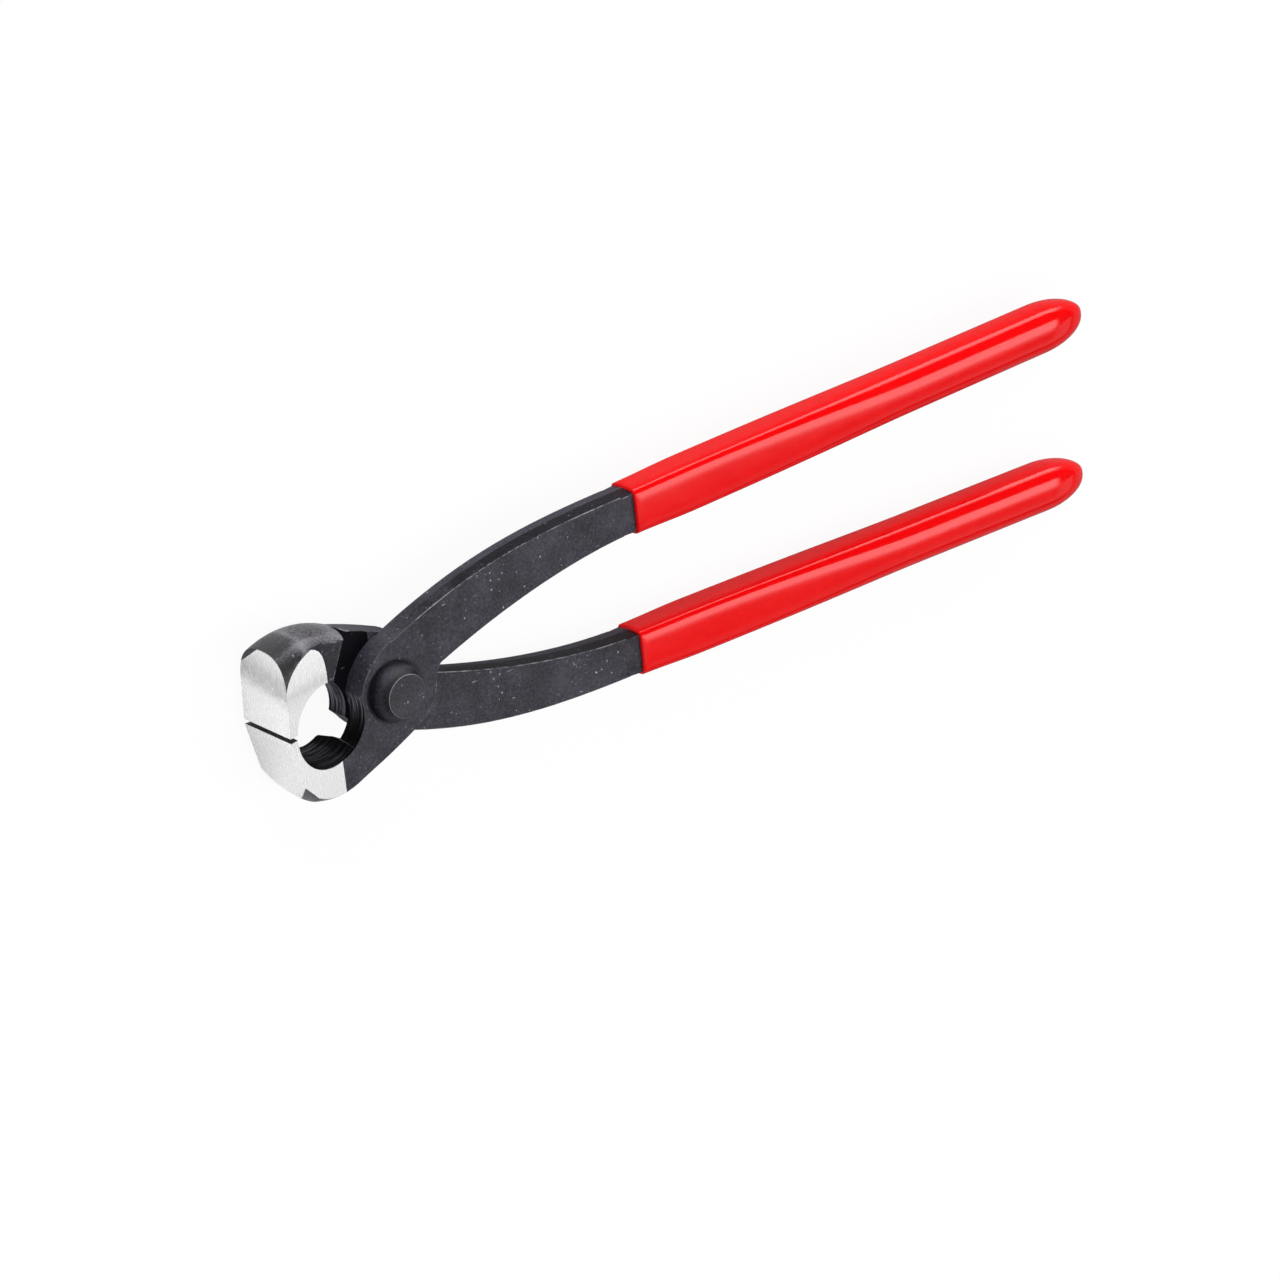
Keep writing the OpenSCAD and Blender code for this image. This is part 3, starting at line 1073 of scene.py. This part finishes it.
            # painted light and shade: one side of the parting line lighter, the other darker
            elif centre.x > self.arm_start and abs(normal.y) > side_cos and upright:
                fade = min(1.0, (centre.x - self.arm_start) / self.arm_fade)
                face[layer] = math.copysign(self.arm_painted_light, -normal.z) * fade
            # painted light on the boss walls
            elif self.neck_x < centre.x < self.boss_end and upright:
                face[layer] = self.boss_painted_light
            elif centre.x < self.neck_x and flat:
                face[layer] = self.flat_tone
        bmesh.update_edit_mesh(self.piece.data)

    def _centre(self, face: bmesh.types.BMFace) -> Vector:
        """Returns the middle of a face in millimetres from the rivet's middle."""
        return self._local(face.calc_center_median())

    def _middle(self, edge: bmesh.types.BMEdge) -> Vector:
        """Returns the middle of an edge in millimetres from the rivet's middle."""
        return self._local((edge.verts[0].co + edge.verts[1].co) / 2)

    def _forged_edge(self, edge: bmesh.types.BMEdge) -> bool:
        """Says whether an edge of the arm, boss or neck is rounded.

        Args:
            edge: The edge.

        Returns:
            True if the edge is wanted.
        """
        upright_cos = 0.7
        kinds = {f.material_index for f in edge.link_faces} - {Surface.RECESS.value}
        middle = self._middle(edge)
        along = (edge.verts[1].co - edge.verts[0].co).normalized()
        hidden = middle.xy.length < self.rivet_hides or middle.x > self.grip_hides
        if kinds != {Surface.OXIDE.value} or hidden or abs(along.z) > upright_cos:
            return False
        return edge.calc_face_angle() > self.sharp and middle.x > self.neck_x

    def _ledge_edge(self, edge: bmesh.types.BMEdge) -> bool:
        """Says whether an edge lies between a crown and the cheek behind its ground part.

        Args:
            edge: The edge.

        Returns:
            True if the edge is wanted.
        """
        flat_cos, above_face = 0.995, 0.1
        kinds = {f.material_index for f in edge.link_faces}
        middle = self._middle(edge)
        flat = any(abs(f.normal.z) > flat_cos for f in edge.link_faces)
        forged = {Surface.OXIDE.value, Surface.CROWN.value}
        outer = abs(middle.z) > self.face_z + above_face and middle.y * self.side > self.ledge_y
        if kinds != forged or not flat or not outer:
            return False
        return edge.calc_face_angle() > self.ledge_sharp and middle.x < self.neck_x

    def _tip_edge(self, edge: bmesh.types.BMEdge) -> bool:
        """Says whether an edge along the slit between the jaws is eased.

        Args:
            edge: The edge.

        Returns:
            True if the edge is wanted.
        """
        most_rise = 0.1 * MM
        kinds = {f.material_index for f in edge.link_faces}
        rise = abs(edge.verts[0].co.y - edge.verts[1].co.y)
        flat = abs(self._middle(edge).y) < self.slit_half and rise < most_rise
        return Surface.GROUND.value in kinds and edge.calc_face_angle() > self.sharp and flat

    def _round(
        self, test: Callable[[bmesh.types.BMEdge], bool], width: float, steps: int, wear: float
    ) -> None:
        """Rounds chosen edges and marks the new faces as worn.

        Args:
            test: Says whether an edge is rounded.
            width: Width of the rounding in millimetres.
            steps: Number of faces across it.
            wear: How worn the new faces are, from 0 to 1.
        """
        count = Bench.pick_edges(self.piece, test)
        if not count:
            return
        bpy.ops.mesh.bevel(offset=width * MM, segments=steps, profile=0.5, clamp_overlap=False)
        mesh = bmesh.from_edit_mesh(self.piece.data)
        worn = mesh.faces.layers.float.get("worn") or mesh.faces.layers.float.new("worn")
        for face in mesh.faces:
            if face.select:
                centre = self._centre(face)
                kept = centre.xy.length < self.boss_reach and centre.x < self.boss_front
                face[worn] = wear * (self.boss_wear if kept else 1.0)
        bmesh.update_edit_mesh(self.piece.data)
        LOG.info("%s: %d edges rounded by %.2f mm", self.piece_name, count, width)


@dataclass
class PivotRivet(Piece):
    """The rivet with a formed head at each end."""

    slot: ClassVar[Slot] = Slot.RIVET
    node: str = "rivet"
    piece_name: str = "pivot_rivet"
    body: Body = Body.UPPER
    shank_r: float = 4.0
    head_r: float = 6.2
    flat_r: float = 4.5
    head_h: float = 4.2
    length: float = 19.35
    bow: float = 0.35
    bow_out: float = 0.9
    bow_down: float = 0.4
    cone_low: float = 0.12
    rim: float = 0.12
    rim_wear: float = 0.55
    # painted sheen across the middle of each cone, painted shade at its ends
    cone_painted_sheen: float = 1.1
    cone_painted_shade: float = -0.9
    cone_steps: int = 8
    points: int = 96

    def build(self) -> bpy.types.Object:
        """Models the rivet as rings from its lower end to its upper end.

        Returns:
            The finished piece.
        """
        half = self._half_profile()
        profile = half + [(r, self.length - z) for r, z in reversed(half)]
        rings = [self._ring(r, z) for r, z in profile]
        self.piece = Bench.loft(self.piece_name, rings)
        with Bench.editing(self.piece, "FACE"):
            self._mark_rims()
        Bench.smooth(self.piece, 40.0)
        return self.piece

    def _half_profile(self) -> list[tuple[float, float]]:
        """Draws the outline of the lower head and half of the shank.

        Returns:
            Pairs of radius and height in millimetres.
        """
        cone = []
        for i in range(self.cone_steps):
            t = i / self.cone_steps
            bow = 4 * self.bow * t * (1 - t)
            radius = self.flat_r + (self.head_r - self.flat_r) * t + bow * self.bow_out
            cone.append((radius, max(self.head_h * t - bow * self.bow_down, self.cone_low)))
        flat, head, top = self.flat_r, self.head_r, self.head_h
        dish = [(0.6, 0.10), (flat - 0.9, 0.08), (flat - 0.35, 0.0), (flat - 0.1, 0.02)]
        foot = [(head + 0.02, top - 0.12), (head - 0.05, top), (self.shank_r, top)]
        return dish + cone + foot

    def _ring(self, radius: float, height: float) -> list[Vector]:
        """Draws one ring.

        Args:
            radius: Radius in millimetres.
            height: Height in millimetres.

        Returns:
            The points in metres.
        """
        turn = 2 * math.pi / self.points
        return [
            Vector((radius * math.cos(i * turn), radius * math.sin(i * turn), height)) * MM
            for i in range(self.points)
        ]

    def _mark_rims(self) -> None:
        """Marks the rims of both heads as worn and paints sheen and shade on their cones."""
        skew, flat_share = 1.5, -0.02
        mesh = bmesh.from_edit_mesh(self.piece.data)
        worn = mesh.faces.layers.float.new("worn")
        tone = mesh.verts.layers.float.new("tone")
        for face in mesh.faces:
            radius = face.calc_center_median().xy.length / MM
            face[worn] = self.rim_wear if abs(radius - self.flat_r) < self.rim else 0.0
        # painted sheen and shade along the cone's radius
        for vertex in mesh.verts:
            radius = vertex.co.xy.length / MM
            share = (radius - self.flat_r) / (self.head_r - self.flat_r)
            sheen_profile = math.sin(math.pi * min(1.0, max(0.0, share)) ** skew)
            vertex[tone] = 0.0 if share < flat_share else self.cone_painted_sheen * sheen_profile + self.cone_painted_shade
        bmesh.update_edit_mesh(self.piece.data)


@dataclass
class DippedGrip(Piece):
    """A dipped coat with its lip, over the tang of one arm."""

    slot: ClassVar[Slot] = Slot.VINYL
    side: float
    start_x: float = 64.0
    end_x: float = 192.42
    tang_end: float = 186.5
    mid_start: float = 16.0
    spread: float = 0.0232
    arm_half_w: float = 4.2
    arm_half_t: float = 3.175
    mid_z: float = 1.45
    tang_taper: float = 0.75
    mouth_coat: float = 0.9
    full_coat: float = 1.19
    end_half_w: float = 5.36
    end_half_t: float = 4.99
    dome: float = 12.92
    mouth_power: float = 4.8
    end_power: float = 2.5
    lip: float = 0.35
    lip_start: float = 0.18
    coat_run: float = 16.0
    round_run: float = 50.0
    cavity_gap: float = 0.06
    cavity_side: float = 0.3
    cavity_power: float = 9.0
    body_rings: int = 72
    cap_rings: int = 24
    points: int = 96

    def build(self) -> bpy.types.Object:
        """Models the coat as one skin: cavity, lip, outside and rounded end.

        Returns:
            The finished piece.
        """
        end_gap, behind_mouth, mouth_depth, tip_share, lip_steps = 0.04, 6.0, 0.5, 0.4, (0.0, 0.35, 0.7)
        inside = (self.tang_end + end_gap, self.start_x + behind_mouth, self.start_x + mouth_depth)
        first, last = self.start_x + self.lip, self.end_x - self.dome
        outside = [first + (last - first) * i / self.body_rings for i in range(self.body_rings + 1)]
        turn = math.pi / 2 / (self.cap_rings + tip_share)
        outside += [last + self.dome * math.sin(turn * i) for i in range(1, self.cap_rings + 1)]
        rings = [self._cavity(x) for x in inside]
        rings += [self._lip(t) for t in lip_steps]
        rings += [self._outside(x) for x in outside]
        self.piece = Bench.loft(self.piece_name, rings)
        Bench.smooth(self.piece, 50.0)
        return self.piece

    @staticmethod
    def _ease(x: float, a: float, b: float) -> float:
        """Returns a share from 0 to 1 between two places, eased at both ends."""
        t = min(1.0, max(0.0, (x - a) / (b - a)))
        return t * t * (3 - 2 * t)

    def _mid_y(self, x: float) -> float:
        """Returns the middle line's distance from the tool's axis."""
        return self.mid_start + self.spread * (x - self.start_x)

    def _point(self, x: float, y: float, z: float) -> Vector:
        """Returns a point in metres from sizes on the upper arm's side."""
        return Vector((x, self.side * y, LAP_Z + self.side * z)) * MM

    def _outside(self, x: float) -> list[Vector]:
        """Draws one ring of the outside.

        Args:
            x: Place along the tool.

        Returns:
            The points in metres.
        """
        full = self.start_x + self.coat_run
        t = self._ease(x, full, self.end_x - self.round_run)
        coat = self.mouth_coat + (self.full_coat - self.mouth_coat) * self._ease(x, self.start_x, full)
        d = max(0.0, (x - self.end_x + self.dome) / self.dome)
        shrink = math.sqrt(max(0.0, 1 - d * d))
        w = (self.arm_half_w + coat) * (1 - t) + self.end_half_w * t
        h = (self.arm_half_t + coat) * (1 - t) + self.end_half_t * t
        power = self.mouth_power + (self.end_power - self.mouth_power) * t
        return self._section(x, w * shrink, h * shrink, power)

    def _section(self, x: float, w: float, h: float, power: float) -> list[Vector]:
        """Returns a rounded section.

        Args:
            x: Place along the tool.
            w: Half width.
            h: Half thickness.
            power: Squareness, 2 for an ellipse.

        Returns:
            The points in metres.
        """
        ring = []
        for i in range(self.points):
            a = 2 * math.pi * i / self.points
            c, s = math.cos(a), math.sin(a)
            y = w * math.copysign(abs(c) ** (2 / power), c)
            z = h * math.copysign(abs(s) ** (2 / power), s)
            ring.append(self._point(x, self._mid_y(x) + y, self.mid_z + z))
        return ring

    def _lip(self, t: float) -> list[Vector]:
        """Draws one ring of the rounded lip at the mouth.

        Args:
            t: Share of the way from its inside to its outside.

        Returns:
            The points in metres.
        """
        a = math.pi / 2 * t
        grow = self.lip_start + (self.mouth_coat - self.lip_start) * math.sin(a)
        x = self.start_x + self.lip * (1 - math.cos(a))
        power = self.mouth_power + 2.0 * (1 - t)
        return self._section(x, self.arm_half_w + grow, self.arm_half_t + grow, power)

    def _cavity(self, x: float) -> list[Vector]:
        """Draws one ring of the cavity round the tang.

        Args:
            x: Place along the tool.

        Returns:
            The points in metres.
        """
        share = min(1.0, (x - self.start_x) / (self.tang_end - self.start_x))
        taper = 1 + (self.tang_taper - 1) * share
        w = (self.arm_half_w + self.cavity_side) * taper + self.cavity_gap
        return self._section(x, w, self.arm_half_t + self.cavity_gap, self.cavity_power)


@dataclass(frozen=True)
class Panel:
    """A soft light overhead, placed by its slopes along and across the tool."""

    along: Span
    across: Span
    soft: tuple[float, float, float, float]
    level: float
    mirrored: float
    fade: float = 1.0

    def mask(self, w: Wiring, x: Socket, y: Socket, glossy: Socket) -> Socket:
        """Wires the panel's brightness.

        Args:
            w: The wiring of the surroundings.
            x: Slope of the view along the tool.
            y: Slope of the view across it.
            glossy: Whether a reflection looks at the panel.

        Returns:
            The brightness in each direction.
        """
        left = w.ramp(x, self.along[0] - self.soft[0], self.along[0])
        right = w.ramp(x, self.along[1] + self.soft[1], self.along[1])
        near = w.math("POWER", w.ramp(y, self.across[0] - self.soft[2], self.across[0]), self.fade)
        far = w.ramp(y, self.across[1] + self.soft[3], self.across[1])
        full = w.math("MULTIPLY", w.math("MULTIPLY", left, right), w.math("MULTIPLY", near, far))
        return w.math("MULTIPLY", full, w.between(glossy, self.level, self.mirrored))


@dataclass
class Studio:
    """Floor, surroundings with soft panels, and camera."""

    camera_place: Triple = (-0.50483, 0.39424, 0.75451)
    camera_right: Triple = (0.76344, -0.09815, 0.63838)
    camera_down: Triple = (-0.32621, -0.91165, 0.24995)
    camera_ahead: Triple = (0.55745, -0.39907, -0.72801)
    lens: float = 140.625
    floor_size: float = 6.0
    floor_share: float = 0.93
    floor_pale: Colour = (0.95, 0.95, 0.95, 1.0)
    # painted shade on the floor, seen only in reflections, over a span along x in metres
    floor_painted_shade: Colour = (0.28, 0.28, 0.28, 1.0)
    painted_shade_span: Span = (-0.12, -0.07)
    lowest_rise: float = 0.06
    ring_span: Span = (0.34, 0.24)
    back_x: Span = (-0.25, 0.05)
    back_y: Span = (0.5, 0.7)
    back_z: Span = (0.36, 0.24)
    ambient: float = 0.05
    horizon: float = 0.30
    back_light: float = 4.6
    panels: tuple[Panel, ...] = (
        Panel((-1.4, 0.2), (-0.4, 3.2), (0.3, 0.25, 0.3, 0.8), 1.5, 0.95),
        Panel((0.45, 0.95), (-0.22, 0.18), (0.12, 0.2, 0.50, 0.08), 4.8, 4.8, 3.0),
        Panel((1.15, 2.2), (-1.4, -0.45), (0.12, 0.3, 0.2, 0.2), 0.85, 0.72),
        Panel((0.3, 0.95), (-2.6, -0.78), (0.3, 0.2, 0.5, 0.35), 0.5, 0.5),
    )

    def build(self) -> None:
        """Builds the floor, the surroundings and the camera."""
        self._floor()
        self._surroundings()
        self._camera()

    def _floor(self) -> None:
        """Lays a pale floor that keeps a soft shadow, with painted shade on it that only reflections see,
        from just ahead of the jaws onward along x.
        """
        bpy.ops.object.select_all(action="DESELECT")
        bpy.ops.mesh.primitive_plane_add(size=self.floor_size, location=(0.1, 0.0, 0.0))
        floor = bpy.context.object
        floor.name = "floor"
        material = bpy.data.materials.new("pale_floor")
        material.use_nodes = True
        w = Wiring(material.node_tree)
        material.node_tree.nodes.remove(material.node_tree.nodes["Principled BSDF"])
        path = w.add("LightPath").outputs
        place = w.add("SeparateXYZ", {0: w.add("TexCoord").outputs["Object"]}).outputs[0]
        # painted shade seen in reflections, darker towards +x
        reflected_painted_shade = w.math("MULTIPLY", w.ramp(place, *self.painted_shade_span), path["Is Glossy Ray"])
        pale = w.blend(reflected_painted_shade, self.floor_pale, self.floor_painted_shade)
        plain = w.add("BsdfDiffuse", {"Color": pale}).outputs[0]
        white = w.add("Emission", {"Color": (1.0, 1.0, 1.0, 1.0), "Strength": 1.0}).outputs[0]
        share = w.math("MULTIPLY", path["Is Camera Ray"], self.floor_share)
        mixed = w.add("MixShader", {0: share, 1: plain, 2: white}).outputs[0]
        w.feed(material.node_tree.nodes["Material Output"].inputs["Surface"], mixed)
        floor.data.materials.append(material)

    def _surroundings(self) -> None:
        """Sets a bright horizon, a dim sky and the soft panels in it."""
        world = bpy.data.worlds.new("studio")
        bpy.context.scene.world = world
        world.use_nodes = True
        w = Wiring(world.node_tree)
        back = world.node_tree.nodes["Background"]
        way = w.add("SeparateXYZ", {0: w.add("TexCoord").outputs["Generated"]}).outputs
        rise = w.math("MAXIMUM", way[2], self.lowest_rise)
        x, y = w.math("DIVIDE", way[0], rise), w.math("DIVIDE", way[1], rise)
        ring = w.math("MULTIPLY", w.ramp(way[2], *self.ring_span), self.horizon)
        light = w.math("MAXIMUM", ring, self.ambient)
        behind = w.math("MULTIPLY", w.ramp(way[1], *self.back_y), w.ramp(way[2], *self.back_z))
        behind = w.math("MULTIPLY", behind, w.ramp(way[0], *self.back_x))
        light = w.math("ADD", light, w.math("MULTIPLY", behind, self.back_light))
        glossy = w.add("LightPath").outputs["Is Glossy Ray"]
        for panel in self.panels:
            light = w.math("ADD", light, panel.mask(w, x, y, glossy))
        w.feed(back.inputs["Color"], light)
        back.inputs["Strength"].default_value = 1.0

    def _camera(self) -> None:
        """Sets the camera at the photograph's angle."""
        data = bpy.data.cameras.new("camera")
        data.lens = self.lens
        data.sensor_width = 36.0
        data.clip_end = 20.0
        camera = bpy.data.objects.new("camera", data)
        axes = (self.camera_right, self.camera_down, self.camera_ahead)
        right, down, ahead = (Vector(axis) for axis in axes)
        turn = Matrix((right, -down, -ahead)).transposed()
        camera.matrix_world = Matrix.Translation(Vector(self.camera_place)) @ turn.to_4x4()
        bpy.context.scene.collection.objects.link(camera)
        bpy.context.scene.camera = camera


def clear_default_scene() -> None:
    """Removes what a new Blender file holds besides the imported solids."""
    for name in ("Cube", "Light", "Camera"):
        thing = bpy.data.objects.get(name)
        if thing is not None:
            bpy.data.objects.remove(thing)


def main() -> None:
    """Builds every piece in order and reports it."""
    clear_default_scene()
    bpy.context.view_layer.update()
    bpy.context.scene.view_settings.view_transform = "Standard"
    effects = Effects()
    finishes = {
        Surface.OXIDE: OxideFinish("black_oxide").make(effects),
        Surface.GROUND: GroundFinish("ground_steel").make(effects),
        Surface.BORED: BoredFinish("bored_wall").make(effects),
        # painted sheen and shade on the crowns: a paler oxide with grey rows along x and z
        Surface.CROWN: OxideFinish(
            "crown_oxide_painted_sheen", dark=(0.010, 0.0095, 0.013, 1.0), pale=(0.200, 0.190, 0.220, 1.0),
            roughness=(0.27, 0.38), gloss=0.45, specks=Scatter(0.75, 0.45, 0.22),
            painted_sheen_rows_x=(
                (-26.0, 0.20), (-22.5, 0.20), (-21.2, 0.38), (-20.0, 0.65), (-18.8, 0.50),
                (-17.0, 0.40), (-14.0, 0.36), (-11.5, 0.58), (-9.0, 0.50),
            ),
            painted_sheen_rows_z=((-8.0, 0.40), (2.0, 0.42), (4.7, 0.63), (5.6, 0.45), (6.5, 0.35)),
        ).make(effects),
        # painted shade: near-black oxide for the recess
        Surface.RECESS: OxideFinish(
            "recess_painted_shade", pale=(0.003, 0.003, 0.0035, 1.0), gloss=0.03, specks=Scatter(0.75, 0.06, 0.22)
        ).make(effects),
    }
    forged = [finishes[surface] for surface in Surface]
    # on the rivet itself the painted shadow ring is shrunk to its axis
    riveted = [OxideFinish(
        "rivet_oxide", pale=(0.052, 0.048, 0.066, 1.0), gloss=0.35, edge_share=0.72, painted_shadow_ring=(0.2, 0.1)
    ).make(effects)]
    dipped = [VinylFinish("dipped_vinyl").make(effects)]
    upper, lower = Body.UPPER, Body.LOWER
    pieces = [
        (ForgedHalf("upper_arm_half", "upper_arm_lower_jaw", upper, -1.0, (-27.0, -0.85), 11.3), forged),
        (ForgedHalf("lower_arm_half", "lower_arm_upper_jaw", lower, 1.0, (-27.0, 0.15), 3.4), forged),
        (PivotRivet(), riveted),
        (DippedGrip("upper_grip", "upper_dipped_grip", upper, 1.0), dipped),
        (DippedGrip("lower_grip", "lower_dipped_grip", lower, -1.0), dipped),
    ]
    for piece, materials in pieces:
        faces = len(piece.build().data.polygons)
        piece.dress(materials)
        LOG.info("%s: %d faces", piece.piece_name, faces)
    Studio().build()


if __name__ == "__main__":
    logging.basicConfig(level=logging.INFO, format="%(name)s: %(message)s")
    main()
